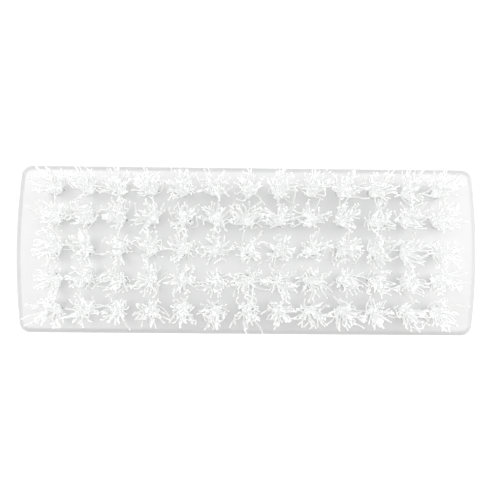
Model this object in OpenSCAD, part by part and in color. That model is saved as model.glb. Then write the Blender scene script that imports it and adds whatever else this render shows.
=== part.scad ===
// Hand scrub brush.
// A one-piece moulded block is drilled with crosswise rows of blind holes. Each hole
// holds a tuft of filaments, folded in half round a flat wire staple that bites into
// the wall of the hole. The back lies on z = 0, the length runs along x, and the
// bristles point up.

/* [Block] */
// Length of the block over its bulged ends
block_len = 120; // [105:0.5:150]
// Width of the block
block_w = 43.4; // [38:0.1:60]
// Height of the block from its back to its bristle face
block_h = 24; // [22:0.5:32]
// Radius of the four corners, seen from above
corner_r = 3; // [3:0.1:6]
// Radius of the bulge of each end, seen from above
end_r = 165; // [90:1:400]
// Rounding of the edge around the bristle face
face_edge_r = 1.3; // [0.5:0.1:2.5]
// Rounding of the edge around the back
back_edge_r = 2.5; // [1.5:0.1:2.5]
// How far the back stays inside the outline of the face
back_inset = 0.4; // [0:0.1:0.4]

/* [Finger groove] */
// Depth of the groove that runs round the sides
groove_depth = 2.7; // [1.5:0.1:2.8]
// Radius of the hollow of the groove
groove_r = 7.5; // [6:0.1:8]
// Rounding of the lip between the groove and the side wall above it
lip_r = 1.8; // [1:0.1:2.5]

/* [Tuft field] */
// Crosswise rows of tufts, counted along the length
rows = 13; // [9:1:14]
// Tufts in each crosswise row
tufts_per_row = 5; // [3:1:6]
// Distance from each end of the block to the first row
end_margin = 10.8; // [9:0.1:16]
// Distance from each side of the block to the outermost tufts
side_margin = 6.5; // [6:0.1:9]
// Outward lean that each tuft has over its inner neighbour, in degrees
lean_step = 2; // [0:0.1:3]

/* [Bristles] */
// Height of the trimmed tips above the bristle face
bristle_h = 17; // [12:0.5:24]
// Diameter of one filament
filament_d = 0.33; // [0.25:0.01:0.36]
// Spacing of the filaments where they leave the hole, in filament diameters
filament_spacing = 1.12; // [1.05:0.01:1.2]
// Rings of filaments around the middle of a tuft
tuft_rings = 3; // [2:1:3]
// Free space between the outermost tips of neighbouring tufts
tip_gap = 0.3; // [0.1:0.1:2]

/* [Holes and staples] */
// Depth of a tuft hole along its axis
hole_depth = 7; // [6.5:0.1:9]
// Free space between a tuft and the wall of its hole
hole_clearance = 0.05; // [0.02:0.01:0.1]
// Angle of the point that the drill leaves at the bottom of a hole
drill_point_angle = 120; // [90:5:150]
// Thickness of the flat wire
staple_t = 0.35; // [0.25:0.01:0.5]
// Height of the staple along the hole
staple_h = 1.8; // [1.2:0.1:2.2]
// How far each end of the staple bites into the wall of the hole
staple_bite = 0.3; // [0.15:0.01:0.5]
// Thickness of the fold of filaments that loops under the staple
fold_t = 0.9; // [0.6:0.1:1.2]

/* [Hidden] */
small_arc_fn = 48;
wide_arc_fn = 720; // the arcs of the ends are short pieces of wide circles
strand_fn = 16;
$fn = small_arc_fn;
block_colour = [0.93, 0.94, 0.94];
filament_colour = [0.98, 0.98, 0.97];
staple_colour = [0.72, 0.73, 0.75];

function two_digits(i) = str(i < 10 ? "0" : "", i);
function tuft_node(i) = str("tuft_row_", two_digits(i));
function staple_node(i) = str("staple_row_", two_digits(i));

// Plan of the block: straight long sides, bulged ends and a round corner between them.
// The centre of an end's bulge and of the corner beside it follow from tangency.
end_centre_x = block_len / 2 - end_r;
corner_y = block_w / 2 - corner_r;
inner_end_r = end_r - corner_r;
corner_x = end_centre_x + sqrt(inner_end_r ^ 2 - corner_y ^ 2);
end_half_angle = asin(corner_y / inner_end_r);
// The corner posts stand this little proud of the walls that they join, so that the
// faces cross there and none of them merely touch.
post_proud = 0.02;
core_overlap = (corner_r - groove_depth) / 2; // how far the core reaches into the walls

// Section of the side, with u = 0 on the outline and u < 0 inside it. The round back
// edge, the hollow of the groove and the lip above it touch without a corner.
hollow_u = groove_r - groove_depth;
back_u = -back_inset - back_edge_r;
back_z = back_edge_r;
hollow_z = back_z + sqrt((back_edge_r + groove_r) ^ 2 - (hollow_u - back_u) ^ 2);
lip_z = hollow_z + sqrt((lip_r + groove_r) ^ 2 - (hollow_u + lip_r) ^ 2);

// Where two touching circles meet, going from the first centre to the second.
function touch(a, ra, b, rb) = a + (b - a) * ra / (ra + rb);
back_touch = touch([back_u, back_z], back_edge_r, [hollow_u, hollow_z], groove_r);
lip_touch = touch([-lip_r, lip_z], lip_r, [hollow_u, hollow_z], groove_r);

// Tuft field
pitch_x = (block_len - 2 * end_margin) / (rows - 1);
pitch_y = (block_w - 2 * side_margin) / (tufts_per_row - 1);
middle_tuft = (tufts_per_row - 1) / 2;
function lean(j) = lean_step * (j - middle_tuft);

// Tuft: filaments lie in hexagonal rings in the hole and spread from its mouth.
filament_pitch = filament_d * filament_spacing;
root_margin = 0.04; // the root of a tuft stands out this much past its filaments
root_r = tuft_rings * filament_pitch + filament_d / 2 + root_margin;
hole_r = root_r + hole_clearance;
tip_pitch_y = pitch_y + bristle_h * tan(lean_step);
tip_r = (min(pitch_x, tip_pitch_y) - tip_gap - filament_d) / 2;
spread = (tip_r / (tuft_rings * filament_pitch) - 1) / bristle_h;
strand_embed = filament_d / 3; // how far a filament starts inside the root
turn_step = 47; // each tuft is turned by this much more than the one before it
root_bottom = -hole_depth + 2 * hole_clearance;
staple_bottom = root_bottom + fold_t;
staple_l = 2 * (hole_r + staple_bite);
slot_clearance = 0.02; // between a staple and the fold of filaments around it
drill_point_h = hole_r / tan(drill_point_angle / 2);

// The six corners of a ring of the hexagon, and the points along its sides.
function hex_corner(ring, k) = ring * filament_pitch * [cos(60 * k), sin(60 * k)];
function hex_point(ring, n) =
    let (side = floor(n / ring), share = (n % ring) / ring)
    hex_corner(ring, side) * (1 - share) + hex_corner(ring, side + 1) * share;

// The section of a side, from the outline to a depth inside it.
module side_section(depth) {
    $fn = small_arc_fn;
    difference() {
        union() {
            polygon([
                [-depth, 0], [back_u, 0], back_touch, lip_touch,
                [0, lip_z], [0, block_h - face_edge_r],
                [-face_edge_r, block_h], [-depth, block_h]
            ]);
            intersection() {
                union() {
                    translate([back_u, back_z]) circle(r = back_edge_r);
                    translate([-lip_r, lip_z]) circle(r = lip_r);
                    translate([-face_edge_r, block_h - face_edge_r]) circle(r = face_edge_r);
                }
                translate([-depth, 0]) square([depth, block_h]);
            }
        }
        translate([hollow_u, hollow_z]) circle(r = groove_r);
    }
}

// The middle of the block, which reaches a little into the walls around it.
module core() {
    half_w = corner_y + core_overlap;
    disc_r = inner_end_r + core_overlap;
    intersection() {
        translate([-block_len / 2, -half_w, 0]) cube([block_len, 2 * half_w, block_h]);
        translate([end_centre_x, 0, 0]) cylinder(r = disc_r, h = block_h, $fn = wide_arc_fn);
        translate([-end_centre_x, 0, 0]) cylinder(r = disc_r, h = block_h, $fn = wide_arc_fn);
    }
}

module long_side() {
    translate([-corner_x, block_w / 2, 0])
        rotate([90, 0, 90])
            linear_extrude(2 * corner_x) side_section(corner_r);
}

module bulged_end() {
    rotate(-end_half_angle)
        rotate_extrude(angle = 2 * end_half_angle, $fn = wide_arc_fn)
            translate([end_r, 0]) side_section(corner_r);
}

module corner_post() {
    post_r = corner_r + post_proud;
    rotate_extrude()
        intersection() {
            square([post_r, block_h]);
            translate([post_r, 0]) side_section(post_r + post_proud);
        }
}

module block_body() {
    core();
    for (s = [0, 1]) {
        mirror([0, s, 0]) long_side();
        mirror([s, 0, 0]) {
            translate([end_centre_x, 0, 0]) bulged_end();
            for (t = [0, 1])
                mirror([0, t, 0]) translate([corner_x, corner_y, 0]) corner_post();
        }
    }
}

// Children are drawn at the mouth of the hole of tuft j in row i, with z along its axis.
module at_tuft(i, j) {
    translate([(i - (rows + 1) / 2) * pitch_x, (j - middle_tuft) * pitch_y, block_h])
        rotate([-lean(j), 0, 0])
            children();
}

module tuft_hole() {
    above_face = hole_r;
    translate([0, 0, -hole_depth]) cylinder(r = hole_r, h = hole_depth + above_face);
    translate([0, 0, -hole_depth - drill_point_h])
        cylinder(r1 = 0, r2 = hole_r, h = drill_point_h);
    // the nicks that the staple's ends cut on their way down
    translate([-staple_l / 2, -staple_t / 2, staple_bottom])
        cube([staple_l, staple_t, above_face - staple_bottom]);
}

module block() {
    color(block_colour)
        difference() {
            block_body();
            for (i = [1 : rows], j = [0 : tufts_per_row - 1])
                at_tuft(i, j) tuft_hole();
        }
}

// One straight filament from the root of tuft j to the height where the tips are trimmed.
module strand(start, j) {
    slope = start * spread;
    climb = (bristle_h + start[1] * sin(lean(j)) + strand_embed * cos(lean(j)))
        / (cos(lean(j)) - slope[1] * sin(lean(j)));
    translate([start[0], start[1], -strand_embed])
        rotate([0, atan(norm(slope)), atan2(slope[1], slope[0])])
            cylinder(d = filament_d, h = climb * norm([slope[0], slope[1], 1]), $fn = strand_fn);
}

// The part of a tuft inside its hole: two legs that meet in a round fold under the staple.
module tuft_root() {
    difference() {
        intersection() {
            translate([0, 0, root_bottom]) cylinder(r = root_r, h = -root_bottom);
            rotate([90, 0, 90])
                linear_extrude(2 * root_r, center = true)
                    union() {
                        translate([0, root_bottom + root_r]) circle(r = root_r);
                        translate([-root_r, root_bottom + root_r])
                            square([2 * root_r, -root_bottom]);
                    }
        }
        translate([-staple_l / 2, -staple_t / 2 - slot_clearance, staple_bottom - slot_clearance])
            cube([staple_l, staple_t + 2 * slot_clearance, staple_h + 2 * slot_clearance]);
    }
}

module tuft(i, j) {
    turn = turn_step * (i * tufts_per_row + j);
    at_tuft(i, j) {
        tuft_root();
        for (ring = [1 : tuft_rings], n = [0 : 6 * ring - 1]) {
            p = hex_point(ring, n);
            strand([p[0] * cos(turn) - p[1] * sin(turn), p[0] * sin(turn) + p[1] * cos(turn)], j);
        }
    }
}

module tuft_row(i) {
    color(filament_colour)
        for (j = [0 : tufts_per_row - 1])
            tuft(i, j);
}

module staple_row(i) {
    color(staple_colour)
        for (j = [0 : tufts_per_row - 1])
            at_tuft(i, j)
                translate([-staple_l / 2, -staple_t / 2, staple_bottom])
                    cube([staple_l, staple_t, staple_h]);
}

block();
for (i = [1 : rows]) {
    tuft_row(i);
    staple_row(i);
}
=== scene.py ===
import functools
import math
import random

import bpy
from mathutils import Matrix, Vector


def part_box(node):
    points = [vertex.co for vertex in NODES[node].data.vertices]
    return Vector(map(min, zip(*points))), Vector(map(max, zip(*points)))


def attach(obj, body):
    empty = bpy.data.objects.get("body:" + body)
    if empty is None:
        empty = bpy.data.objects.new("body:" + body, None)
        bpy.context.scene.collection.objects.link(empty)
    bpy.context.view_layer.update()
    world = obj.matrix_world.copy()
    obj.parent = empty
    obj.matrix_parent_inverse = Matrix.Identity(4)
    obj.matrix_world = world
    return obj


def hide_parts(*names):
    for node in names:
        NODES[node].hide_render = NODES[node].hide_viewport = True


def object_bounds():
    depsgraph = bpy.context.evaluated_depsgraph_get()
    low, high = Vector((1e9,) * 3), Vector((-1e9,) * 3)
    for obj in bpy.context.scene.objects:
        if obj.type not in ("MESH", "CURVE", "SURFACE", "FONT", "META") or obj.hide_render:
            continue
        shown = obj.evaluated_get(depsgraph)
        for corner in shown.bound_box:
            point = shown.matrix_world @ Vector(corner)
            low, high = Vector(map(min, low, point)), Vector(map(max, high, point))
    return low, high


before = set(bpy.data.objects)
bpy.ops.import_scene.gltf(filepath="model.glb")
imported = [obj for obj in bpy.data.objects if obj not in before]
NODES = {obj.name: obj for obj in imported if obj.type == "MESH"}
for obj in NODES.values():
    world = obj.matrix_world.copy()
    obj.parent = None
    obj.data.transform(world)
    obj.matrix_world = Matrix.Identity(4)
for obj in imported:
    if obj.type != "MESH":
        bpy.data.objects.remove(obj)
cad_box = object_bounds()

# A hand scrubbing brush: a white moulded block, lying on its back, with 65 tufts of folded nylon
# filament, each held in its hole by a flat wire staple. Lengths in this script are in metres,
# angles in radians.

MM = 0.001
random.seed(20)

# ---- filaments inside the hole ----

FILAMENT_R = 0.16 * MM
TUBE_SIDES = 8
TUBE_SEAM = Vector((0.3, 1, 0.1))  # a direction that no filament starts along
BURR = 1.12  # a cut end is this much thicker than its filament
BURR_EDGE = 0.8  # and rounded off at its edge to this share of that
BURR_L = 0.22 * MM
BURR_PEAK = 0.25  # it is thickest this share of its length from the cut
LAYERS = (9, 8, 6)  # filaments in each layer on one side of the staple, from the staple outwards
HOLE_PACK_R = 1.17 * MM  # the filaments stand within this circle inside the hole
LAYER_STEP = 0.32 * MM  # between layers
MOUTH_R = 1.15 * MM  # the filaments fill the mouth of the hole evenly out to here
MOUTH_STEP = 0.365 * MM  # between layers at the mouth
STAPLE_HALF_T = 0.175 * MM
STAPLE_GAP = 2 * MM  # staples of one row are further apart than this
FOLD_STEP = 0.27 * MM  # between layers where they pass under the staple
FOLD_RISE = 0.6 * MM  # the fold begins this far above the staple's lower edge
FOLD_CLEAR = 0.01 * MM  # between the staple's lower edge and the innermost fold
FOLD_WIDE = 0.62  # the bottom of the fold, as a share of its width
FOLD_ROUND = 0.1 * MM  # the bottom of the fold dips by this much

# ---- filaments above the face ----

STEPS = 10  # stretches in one nearly straight end
TIP_SHORT = (0.05 * MM, 0.9 * MM)  # each end is this much shorter than the bristles are tall
SPREAD_SLACK = 2.5 * MM  # an end that leans out by more than this stands lower
EDGE_KEEP = 0.3 * MM  # tips stay this far inside the sides and ends of the whole brush
TOP_KEEP = 0.1 * MM  # and this far below its top
TIP_REACH = (3.6 * MM, 4.4 * MM)  # the tips of one tuft stand within this radius
CORE_POWER = 1.05  # above 1, more tips stand near the middle of the tuft
TIP_JITTER = 0.8 * MM
TURN_JITTER = 0.65
TWIST = 0.3  # a whole tuft is turned by about this much
OVAL = (0.88, 1.13)  # and stretched along the brush by this much
SHIFT = 0.3 * MM
CLUMPS = 9  # neighbouring tips lean together round this many places
CLUMP_PULL = 0.18
FLARE = (0.95, 1.6)  # above 1, a filament rises first and leans out later
BOW = 0.42 * MM
BENT = 0.10  # share of the ends that are bowed strongly
BENT_BOW = 3  # times as much as the others
WAVE = 0.25 * MM
WAVES = 1.8  # along one end
STRAYS = 0.045  # share of the ends that stand out from their tuft
STRAY_FAR = (1.0 * MM, 2.4 * MM)
STRAY_TURN = 0.7
CURLED = 0.006  # share of the ends that are curled round
CURL_FROM = 0.8  # the curl begins this share of the way along
CURL_R = (0.6 * MM, 1.1 * MM)
CURL_SWEEP = (1.8, 3.4)
CURL_LIFT = 0.17  # the curl climbs by this share of the end's length
CURL_STEPS = 9

# ---- nylon: a painted glow on the filaments, standing in for the light that scatters along them, brightest at the cut end ----

# Emission strength of the painted glow at the filaments' tips, and the stronger painted highlight on
# their cut ends.
FILAMENT_PAINTED_GLOW = 0.16
CUT_END_PAINTED_GLOW = 0.225
FILAMENT_GLOW_HEIGHTS = (2 * MM, 16.5 * MM)  # above the face: the first and last place on the scale below
ROOT_GLOW_SHARE = 0.63  # share of the painted glow that shows at the roots
MID_GLOW_SHARE = 0.44  # and between these two places, a painted shade partway up the filaments
FILAMENT_GLOW_PLACES = (0.37, 0.93)

# ---- the studio, by the direction that light comes from ----

# Strength of the tent's four sides: near the horizon, and high up.
TENT_LEFT = (0.53, 0.74)
TENT_RIGHT = (0.48, 1.0)
TENT_NEAR = (0, 0.64)
TENT_FAR = (0.1, 1.15)
LOW_TO_HIGH = (0.3, 0.75)  # the direction's z, where low turns into high
TENT_TOP = (0.9, 0.98)  # the direction's z, where the tent ends
TENT_OVERHANG = (-0.35, -0.15)  # it goes on over the top on the near side, up to this slope
FLATTEST = 0.02  # slopes are worked out with a z of at least this
# These edges are slopes, x / z or y / z, each from where it begins to where it ends.
OPEN_LEFT = (-0.155, 0.0)  # the opening overhead
OPEN_RIGHT = (0.11, 0.22)
OPEN_FAR = (0.075, 0.102)
RING_LEFT = (-0.34, -0.22)  # the ring of light round it
RING_RIGHT = (0.24, 0.36)
RING_NEAR = (-0.2, -0.04)
RING_FAR = (0.12, 0.2)
RING_HALVES = (-0.15, 0.1)  # where the ring's left half turns into its right half
GLOW_NEAR = (-0.02, -0.002)  # the lit ceiling seen through the opening
GLOW_FAR = (0.035, 0.07)
RING_LIGHT_LEFT = 3.9
RING_LIGHT_RIGHT = 3.05
RING_LIGHT_FAR = 1.7  # added on the far side
GLOW = 5.1
BACKDROP = 1.0  # what the camera itself sees beyond the floor

# ---- light panels, floor and camera ----

PANEL_OUT = 110 * MM  # the middle of each light panel, from the end of the block
PANEL_UP = 100 * MM  # and above its face
PANEL_WIDE = 160 * MM
PANEL_TALL = 110 * MM
PANEL_LEFT = 0.78  # how bright its surface is
PANEL_RIGHT = 1.0
FLOOR_HALF = 3.0
FLOOR_WHITE = 0.9
FLOOR_LIGHT = 0.45
EYE = Vector((-7, -11, 315)) * MM  # from the middle of the block's face
TARGET = Vector((0.73, 0.16, 0)) * MM
ROLL = math.radians(0.486)
VIEW_ANGLE = math.radians(23.3)
CLIP_START = 10 * MM


def add_object(name, data):
    """A new object in the scene."""
    made = bpy.data.objects.new(name, data)
    bpy.context.scene.collection.objects.link(made)
    return made


# ---- tufts ----


def filament_mesh(name, verts, faces, ends):
    """An object made of tubes. ends maps the faces at cut ends to True where they are flat."""
    mesh = bpy.data.meshes.new(name)
    mesh.from_pydata(verts, [], faces)
    mesh.polygons.foreach_set("use_smooth", [not ends.get(k, False) for k in range(len(faces))])
    mesh.polygons.foreach_set("material_index", [int(k in ends) for k in range(len(faces))])
    mesh.update()
    return add_object(name, mesh)


def tube_rings(path):
    """The rings of a filament as (centre, radius, direction), with a burr at both cut ends."""
    along = [(b - a).normalized() for a, b in zip(path, path[1:])]
    tangents = [along[0]]
    tangents += [(a + b).normalized() for a, b in zip(along, along[1:])]
    tangents.append(along[-1])
    start, end = tangents[0], tangents[-1]
    burr = FILAMENT_R * BURR
    rings = [
        (path[0], BURR_EDGE * burr, start),
        (path[0] + start * BURR_PEAK * BURR_L, burr, start),
        (path[0] + start * BURR_L, FILAMENT_R, start),
    ]
    rings += [(point, FILAMENT_R, t) for point, t in zip(path[1:-1], tangents[1:-1])]
    rings += [
        (path[-1] - end * BURR_L, FILAMENT_R, end),
        (path[-1] - end * BURR_PEAK * BURR_L, burr, end),
        (path[-1], BURR_EDGE * burr, end),
    ]
    return rings


def tube(path, verts, faces, ends):
    """Adds a round filament along path."""
    rings = tube_rings(path)
    first = len(verts)
    side = rings[0][2].cross(TUBE_SEAM).normalized()
    for centre, r, t in rings:
        side = (side - t * side.dot(t)).normalized()
        other = t.cross(side)
        for s in range(TUBE_SIDES):
            a = math.tau * s / TUBE_SIDES
            verts.append(centre + (side * math.cos(a) + other * math.sin(a)) * r)
    for k in range(len(rings) - 1):
        low = first + k * TUBE_SIDES
        for s in range(TUBE_SIDES):
            n = (s + 1) % TUBE_SIDES
            if k < 1 or k > len(rings) - 3:
                ends[len(faces)] = False
            faces.append((low + s, low + n, low + TUBE_SIDES + n, low + TUBE_SIDES + s))
    ends[len(faces)] = True
    faces.append(tuple(range(first + TUBE_SIDES - 1, first - 1, -1)))
    top = first + (len(rings) - 1) * TUBE_SIDES
    ends[len(faces)] = True
    faces.append(tuple(range(top, top + TUBE_SIDES)))


def staple_anchors(node):
    """Each staple of a row as (point where its hole meets the face, axis, depth of its lower edge)."""
    face_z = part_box("block")[1].z
    points = sorted((v.co.copy() for v in NODES[node].data.vertices), key=lambda p: p.y)
    groups = [[points[0]]]
    for p in points[1:]:
        if p.y - groups[-1][-1].y > STAPLE_GAP:
            groups.append([])
        groups[-1].append(p)
    anchors = []
    for group in groups:
        group.sort(key=lambda p: p.z)
        half = len(group) // 2
        low = sum(group[:half], Vector()) / half
        high = sum(group[half:], Vector()) / (len(group) - half)
        axis = (high - low).normalized()
        mouth = low + axis * ((face_z - low.z) / axis.z)
        anchors.append((mouth, axis, (mouth - low).length))
    return anchors


def straight_end(root, tip, axis):
    """Points from the mouth of the hole to the cut end of a filament that is nearly straight."""
    bend = random.uniform(*FLARE)
    bow = Vector((random.gauss(0, BOW), random.gauss(0, BOW), 0))
    wave = Vector((random.gauss(0, WAVE), random.gauss(0, WAVE), 0))
    phase = random.uniform(0, math.tau)
    if random.random() < BENT:
        bow *= BENT_BOW
    rise = (tip - root).dot(axis)
    side = (tip - root) - axis * rise
    points = []
    for k in range(1, STEPS + 1):
        t = k / STEPS
        point = root + axis * (rise * t) + side * t ** bend + bow * math.sin(math.pi * t)
        points.append(point + wave * (t * math.sin(WAVES * math.tau * t + phase)))
    return points


def curled_end(root, tip, axis):
    """Points from the mouth of the hole to a cut end that is curled round on itself."""
    radius = random.uniform(*CURL_R)
    turn = random.uniform(0, math.tau)
    out = Vector((math.cos(turn), math.sin(turn), 0))
    aside = Vector((-math.sin(turn), math.cos(turn), 0)) * random.choice((-1, 1))
    sweep = random.uniform(*CURL_SWEEP)
    start = root + (tip - root) * CURL_FROM
    climb = axis * ((tip - root).length * CURL_LIFT)
    points = [root + (tip - root) * t for t in (0.3, 0.6)]
    for k in range(CURL_STEPS + 1):
        t = k / CURL_STEPS
        point = start + out * (radius * (1 - math.cos(sweep * t)))
        point += aside * (radius * math.sin(sweep * t)) + climb * math.sin(0.5 * math.pi * t)
        points.append(point)
    return points


def kept_inside(point):
    """A tip moved inside the box of the CAD model."""
    lo, hi = cad_box
    point.x = min(max(point.x, lo.x + EDGE_KEEP), hi.x - EDGE_KEEP)
    point.y = min(max(point.y, lo.y + EDGE_KEEP), hi.y - EDGE_KEEP)
    point.z = min(point.z, hi.z - TOP_KEEP)
    return point


def packing():
    """How the filaments fill a hole: (u, v, layer) of each, and (u, v) of its two ends at the mouth."""
    places, roots = [], []
    for layer, count in enumerate(LAYERS):
        v = STAPLE_HALF_T + FILAMENT_R + layer * LAYER_STEP
        wide = (layer + 0.5) * MOUTH_STEP
        for i in range(count):
            across = 2 * i / (count - 1) - 1
            places.append((across * math.sqrt(HOLE_PACK_R ** 2 - v ** 2), v, layer))
            for sign in (1, -1):
                roots.append((across * math.sqrt(MOUTH_R ** 2 - wide ** 2), sign * wide))
    return places, roots


def tip_spread(roots):
    """Where the tips stand round the tuft's axis, for filaments leaving the hole at roots."""
    reach = random.uniform(*TIP_REACH)
    twist = random.gauss(0, TWIST)
    oval = random.uniform(*OVAL)
    shift = random.gauss(0, SHIFT), random.gauss(0, SHIFT)
    clumps = []
    for _ in range(CLUMPS):
        r, a = reach * math.sqrt(random.random()), random.uniform(0, math.tau)
        clumps.append((r * math.cos(a), r * math.sin(a)))
    tips = []
    for u, v in roots:
        out = math.hypot(u, v) / MOUTH_R
        turn = math.atan2(v, u) + twist + random.gauss(0, TURN_JITTER)
        far = reach * out ** CORE_POWER + random.gauss(0, TIP_JITTER)
        x, y = far * math.cos(turn), far * math.sin(turn)
        cx, cy = min(clumps, key=lambda c: math.hypot(c[0] - x, c[1] - y))
        x, y = x + (cx - x) * CLUMP_PULL, y + (cy - y) * CLUMP_PULL
        if random.random() < STRAYS:
            far = random.uniform(*STRAY_FAR)
            turn = math.atan2(y, x) + random.gauss(0, STRAY_TURN)
            x, y = x + far * math.cos(turn), y + far * math.sin(turn)
        tips.append((x * oval + shift[0], y / oval + shift[1]))
    return tips


def fold(place, depth):
    """A filament inside the hole as (u, v, height): down, under the staple and up again."""
    u, v, layer = place
    bottom = depth + FILAMENT_R + FOLD_CLEAR + layer * FOLD_STEP
    corner, side = bottom - FOLD_ROUND, depth - FOLD_RISE
    outline = ((1, side), (FOLD_WIDE, corner), (0, bottom), (-FOLD_WIDE, corner), (-1, side))
    return [(u, v * share, -down) for share, down in outline]


def add_tuft(mouth, axis, depth, verts, faces, cuts):
    """The folded filaments of one tuft. depth is from the face to the staple's lower edge."""
    u_dir = Vector((1, 0, 0))
    v_dir = axis.cross(u_dir)
    height = cad_box[1].z - mouth.z

    def at(u, v, up):
        return mouth + u_dir * u + v_dir * v + axis * up

    places, roots = packing()
    tips = tip_spread(roots)
    for n, place in enumerate(places):
        legs = []
        for (ru, rv), (tu, tv) in zip(roots[2 * n:2 * n + 2], tips[2 * n:2 * n + 2]):
            lean = math.hypot(tu - ru, tv - rv)
            length = height - random.uniform(*TIP_SHORT)
            tall = math.sqrt(length ** 2 - max(0, lean - SPREAD_SLACK) ** 2)
            root, tip = at(ru, rv, 0), kept_inside(at(tu, tv, tall))
            shape = curled_end if random.random() < CURLED else straight_end
            legs.append([root] + shape(root, tip, axis))
        path = legs[0][::-1] + [at(*point) for point in fold(place, depth)] + legs[1]
        tube(path, verts, faces, cuts)


def tuft_row(number, materials):
    """The tufts of one crosswise row, with the filament's material and that of its cut ends."""
    verts, faces, cuts = [], [], {}
    for mouth, axis, depth in staple_anchors(f"staple_row_{number:02d}"):
        add_tuft(mouth, axis, depth, verts, faces, cuts)
    piece = filament_mesh(f"tufts_{number:02d}", verts, faces, cuts)
    for material in materials:
        piece.data.materials.append(material)
    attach(piece, "root")
    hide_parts(f"tuft_row_{number:02d}")


# ---- shader nodes ----


class Sums:
    """Adds math nodes to a node tree. Each takes sockets or numbers and gives a socket."""

    def __init__(self, tree):
        self.tree = tree

    def maths(self, operation, *values):
        node = self.tree.nodes.new("ShaderNodeMath")
        node.operation = operation
        for socket, value in zip(node.inputs, values):
            if isinstance(value, (int, float)):
                socket.default_value = value
            else:
                self.tree.links.new(value, socket)
        return node.outputs[0]

    def add(self, *values):
        return functools.reduce(lambda p, q: self.maths("ADD", p, q), values)

    def times(self, *values):
        return functools.reduce(lambda p, q: self.maths("MULTIPLY", p, q), values)

    def most(self, *values):
        return functools.reduce(lambda p, q: self.maths("MAXIMUM", p, q), values)

    def rest(self, value):
        """What is left of 1."""
        return self.maths("SUBTRACT", 1, value)

    def rise(self, value, limits):
        """0 up to the first limit, 1 from the second on, smooth between."""
        node = self.tree.nodes.new("ShaderNodeMapRange")
        node.interpolation_type = "SMOOTHSTEP"
        node.inputs["From Min"].default_value, node.inputs["From Max"].default_value = limits
        self.tree.links.new(value, node.inputs["Value"])
        return node.outputs["Result"]

    def fall(self, value, limits):
        """1 up to the first limit, 0 from the second on, smooth between."""
        return self.rest(self.rise(value, limits))


def new_material(name):
    """A node material: (the material, its node tree, the shader node)."""
    made = bpy.data.materials.new(name)
    made.use_nodes = True
    return made, made.node_tree, made.node_tree.nodes["Principled BSDF"]


def adjust(node, values):
    """Sets a node's inputs by name."""
    for name, value in values.items():
        node.inputs[name].default_value = value


def coordinates(tree, kind):
    """Texture coordinates of the given kind."""
    return tree.nodes.new("ShaderNodeTexCoord").outputs[kind]


def split(tree, vector):
    """The x, y and z of a vector."""
    node = tree.nodes.new("ShaderNodeSeparateXYZ")
    tree.links.new(vector, node.inputs["Vector"])
    return node.outputs


def noise(tree, vector, scale, detail, rough):
    """A noise texture read at vector."""
    node = tree.nodes.new("ShaderNodeTexNoise")
    adjust(node, {"Scale": scale, "Detail": detail, "Roughness": rough})
    tree.links.new(vector, node.inputs["Vector"])
    return node.outputs["Fac"]


def tint(tree, texture, dark, light, places=(0, 1)):
    """The shader's base colour: dark to light as the texture goes from one place to the other."""
    ramp = tree.nodes.new("ShaderNodeValToRGB")
    for element, position, colour in zip(ramp.color_ramp.elements, places, (dark, light)):
        element.position = position
        element.color = (*colour, 1)
    tree.links.new(texture, ramp.inputs["Fac"])
    tree.links.new(ramp.outputs["Color"], tree.nodes["Principled BSDF"].inputs["Base Color"])


# ---- materials ----


def nylon(name, painted_glow_strength):
    """Milky nylon with a painted glow. The second argument is the painted emission at the tips, weaker
    lower down, standing in for light scattered along the filaments.
    """
    made, tree, shader = new_material(name)
    place = coordinates(tree, "Object")
    cloudy = noise(tree, place, 900, 2, 0.5)
    tint(tree, cloudy, (0.90, 0.903, 0.902), (0.96, 0.963, 0.962), (0.35, 0.65))
    adjust(shader, {
        "Roughness": 0.35,
        "IOR": 1.53,
        "Subsurface Weight": 1,
        "Subsurface Radius": (1, 1, 1),
        "Subsurface Scale": 0.5 * MM,
        "Emission Strength": painted_glow_strength,
    })
    face_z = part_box("block")[1].z
    # Painted glow by height: brightest at the tips as a painted highlight, dimmer partway up as painted
    # shade.
    glow_ramp = tree.nodes.new("ShaderNodeValToRGB")
    glow_ramp.color_ramp.elements[0].color = (ROOT_GLOW_SHARE, ROOT_GLOW_SHARE, ROOT_GLOW_SHARE, 1)
    glow_ramp.color_ramp.elements[1].color = (1, 1, 1, 1)
    for position in FILAMENT_GLOW_PLACES:
        glow_ramp.color_ramp.elements.new(position).color = (MID_GLOW_SHARE, MID_GLOW_SHARE, MID_GLOW_SHARE, 1)
    height = Sums(tree).rise(split(tree, place)["Z"], [face_z + h for h in FILAMENT_GLOW_HEIGHTS])
    tree.links.new(height, glow_ramp.inputs["Fac"])
    tree.links.new(glow_ramp.outputs["Color"], shader.inputs["Emission Color"])
    return made


def white_plastic():
    """Glossy white moulded plastic, with the faint waviness of a moulded face."""
    made, tree, shader = new_material("white_moulded_plastic")
    place = coordinates(tree, "Object")
    tint(tree, noise(tree, place, 60, 3, 0.5), (0.768, 0.766, 0.766), (0.788, 0.786, 0.786), (0.3, 0.7))
    bump = tree.nodes.new("ShaderNodeBump")
    adjust(bump, {"Strength": 0.04, "Distance": 0.3 * MM})
    tree.links.new(noise(tree, place, 220, 2, 0.5), bump.inputs["Height"])
    tree.links.new(bump.outputs["Normal"], shader.inputs["Normal"])
    adjust(shader, {"Roughness": 0.1, "IOR": 1.5})
    return made


def galvanised_wire():
    """Flat zinc-coated wire with drawn streaks along it."""
    made, tree, shader = new_material("galvanised_wire")
    stretch = tree.nodes.new("ShaderNodeMapping")
    adjust(stretch, {"Scale": (0.1, 1, 1)})
    tree.links.new(coordinates(tree, "Object"), stretch.inputs["Vector"])
    streaks = noise(tree, stretch.outputs["Vector"], 9000, 3, 0.6)
    tint(tree, streaks, (0.36, 0.37, 0.38), (0.62, 0.63, 0.64))
    adjust(shader, {"Metallic": 1, "Roughness": 0.38})
    return made


def dress(node, material):
    """Gives a CAD node its material."""
    piece = NODES[node]
    piece.data.materials.clear()
    piece.data.materials.append(material)


# ---- light, floor and camera ----


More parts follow.
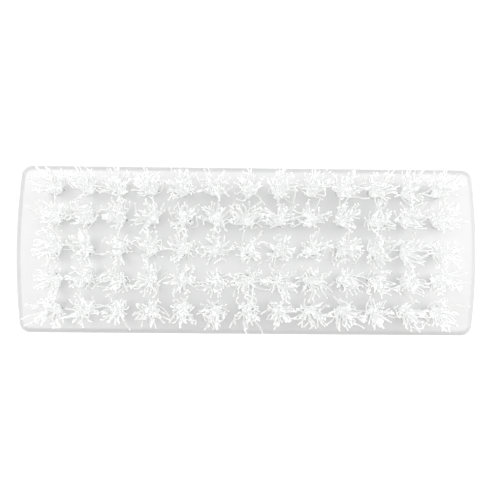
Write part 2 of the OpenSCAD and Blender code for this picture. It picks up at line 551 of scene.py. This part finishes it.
def ring_light(sums, a, b, shut):
    """The ring of light round the opening overhead. a and b are the slopes x / z and y / z."""
    strength = sums.add(
        sums.times(sums.fall(a, RING_HALVES), RING_LIGHT_LEFT),
        sums.times(sums.rise(a, RING_HALVES), RING_LIGHT_RIGHT),
        sums.times(sums.rise(b, OPEN_FAR), RING_LIGHT_FAR),
    )
    across = sums.times(sums.rise(a, RING_LEFT), sums.fall(a, RING_RIGHT))
    along = sums.times(sums.rise(b, RING_NEAR), sums.fall(b, RING_FAR))
    return sums.times(shut, across, along, strength)


def tent_light(sums, x, y, z, b, shut):
    """The tent's four sides, which blend into one another by the square of the direction."""
    sides = (
        (x, TENT_RIGHT),
        (sums.times(x, -1), TENT_LEFT),
        (y, TENT_FAR),
        (sums.times(y, -1), TENT_NEAR),
    )
    lift = sums.rise(z, LOW_TO_HIGH)
    level = sums.add(sums.times(x, x), sums.times(y, y))
    walls = 0
    for towards, (low, high) in sides:
        share = sums.maths("DIVIDE", sums.maths("POWER", sums.most(towards, 0), 2), level)
        walls = sums.add(walls, sums.times(share, sums.add(sums.times(lift, high - low), low)))
    covered = sums.most(shut, sums.fall(b, TENT_OVERHANG), sums.fall(z, TENT_TOP))
    return sums.times(walls, covered)


def studio():
    """Light from a white tent, open overhead for the camera, with a ring of light round it."""
    world = bpy.data.worlds.new("studio")
    bpy.context.scene.world = world
    world.use_nodes = True
    tree = world.node_tree
    sums = Sums(tree)
    x, y, z = split(tree, coordinates(tree, "Generated"))
    up = sums.most(z, FLATTEST)
    a, b = sums.maths("DIVIDE", x, up), sums.maths("DIVIDE", y, up)
    shut = sums.most(sums.fall(a, OPEN_LEFT), sums.rise(a, OPEN_RIGHT), sums.rise(b, OPEN_FAR))
    glow = sums.times(sums.rise(b, GLOW_NEAR), sums.fall(b, GLOW_FAR), sums.rest(shut), GLOW)
    light = sums.add(ring_light(sums, a, b, shut), tent_light(sums, x, y, z, b, shut), glow)
    seen = tree.nodes.new("ShaderNodeLightPath").outputs["Is Camera Ray"]
    light = sums.add(sums.times(light, sums.rest(seen)), sums.times(seen, BACKDROP))
    background = tree.nodes["Background"]
    tree.links.new(light, background.inputs["Strength"])
    background.inputs["Color"].default_value = (1, 1, 1, 1)


def panel(name, centre, target, light):
    """A flat light panel facing target, hidden from the camera. light is its brightness."""
    data = bpy.data.lights.new(name, "AREA")
    data.shape = "RECTANGLE"
    data.size, data.size_y = PANEL_WIDE, PANEL_TALL
    data.energy = light * math.pi * PANEL_WIDE * PANEL_TALL
    lamp = add_object(name, data)
    lamp.visible_camera = False
    lamp.location = centre
    lamp.rotation_euler = (target - centre).to_track_quat("-Z", "Y").to_euler()


def panels():
    """A light panel beyond each end of the brush."""
    lo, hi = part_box("block")
    up = hi.z + PANEL_UP
    panel("panel_left", Vector((lo.x - PANEL_OUT, 0, up)), Vector((lo.x, 0, hi.z)), PANEL_LEFT)
    panel("panel_right", Vector((hi.x + PANEL_OUT, 0, up)), Vector((hi.x, 0, hi.z)), PANEL_RIGHT)


def floor():
    """A plain white floor, lit enough to show as pure white."""
    mesh = bpy.data.meshes.new("floor")
    corners = [Vector((x, y, 0)) * FLOOR_HALF for x, y in ((-1, -1), (1, -1), (1, 1), (-1, 1))]
    mesh.from_pydata(corners, [], [(0, 1, 2, 3)])
    plane = add_object("floor", mesh)
    made, tree, shader = new_material("floor_white")
    adjust(shader, {
        "Base Color": (FLOOR_WHITE, FLOOR_WHITE, FLOOR_WHITE, 1),
        "Roughness": 0.9,
        "Specular IOR Level": 0,
        "Emission Color": (1, 1, 1, 1),
        "Emission Strength": FLOOR_LIGHT,
    })
    mesh.materials.append(made)


def camera():
    """The camera, high above the brush and a little to its near left."""
    face = Vector((0, 0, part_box("block")[1].z))
    eye, target = face + EYE, face + TARGET
    back = (eye - target).normalized()
    right = Vector((-math.sin(ROLL), math.cos(ROLL), 0)).cross(back).normalized()
    up = back.cross(right)
    data = bpy.data.cameras.new("camera")
    data.angle = VIEW_ANGLE
    data.clip_start = CLIP_START
    rig = add_object("camera", data)
    turn = [(right[k], up[k], back[k], eye[k]) for k in range(3)]
    rig.matrix_world = Matrix(turn + [(0, 0, 0, 1)])
    bpy.context.scene.camera = rig


# ---- the whole scene ----

dress("block", white_plastic())
wire = galvanised_wire()
# The filaments glow with painted light, and their cut ends glow more brightly as a painted highlight.
filament = nylon("milky_nylon_painted_glow", FILAMENT_PAINTED_GLOW), nylon("cut_nylon_painted_glow", CUT_END_PAINTED_GLOW)
rows = sum(name.startswith("staple_row_") for name in NODES)
for number in range(1, rows + 1):
    dress(f"staple_row_{number:02d}", wire)
    tuft_row(number, filament)
studio()
panels()
floor()
camera()

# White on white: the light needs many bounces between the filaments and the block.
bpy.context.scene.view_settings.view_transform = "Standard"
bpy.context.scene.cycles.max_bounces = 40
bpy.context.scene.cycles.diffuse_bounces = 40
bpy.context.scene.cycles.glossy_bounces = 12
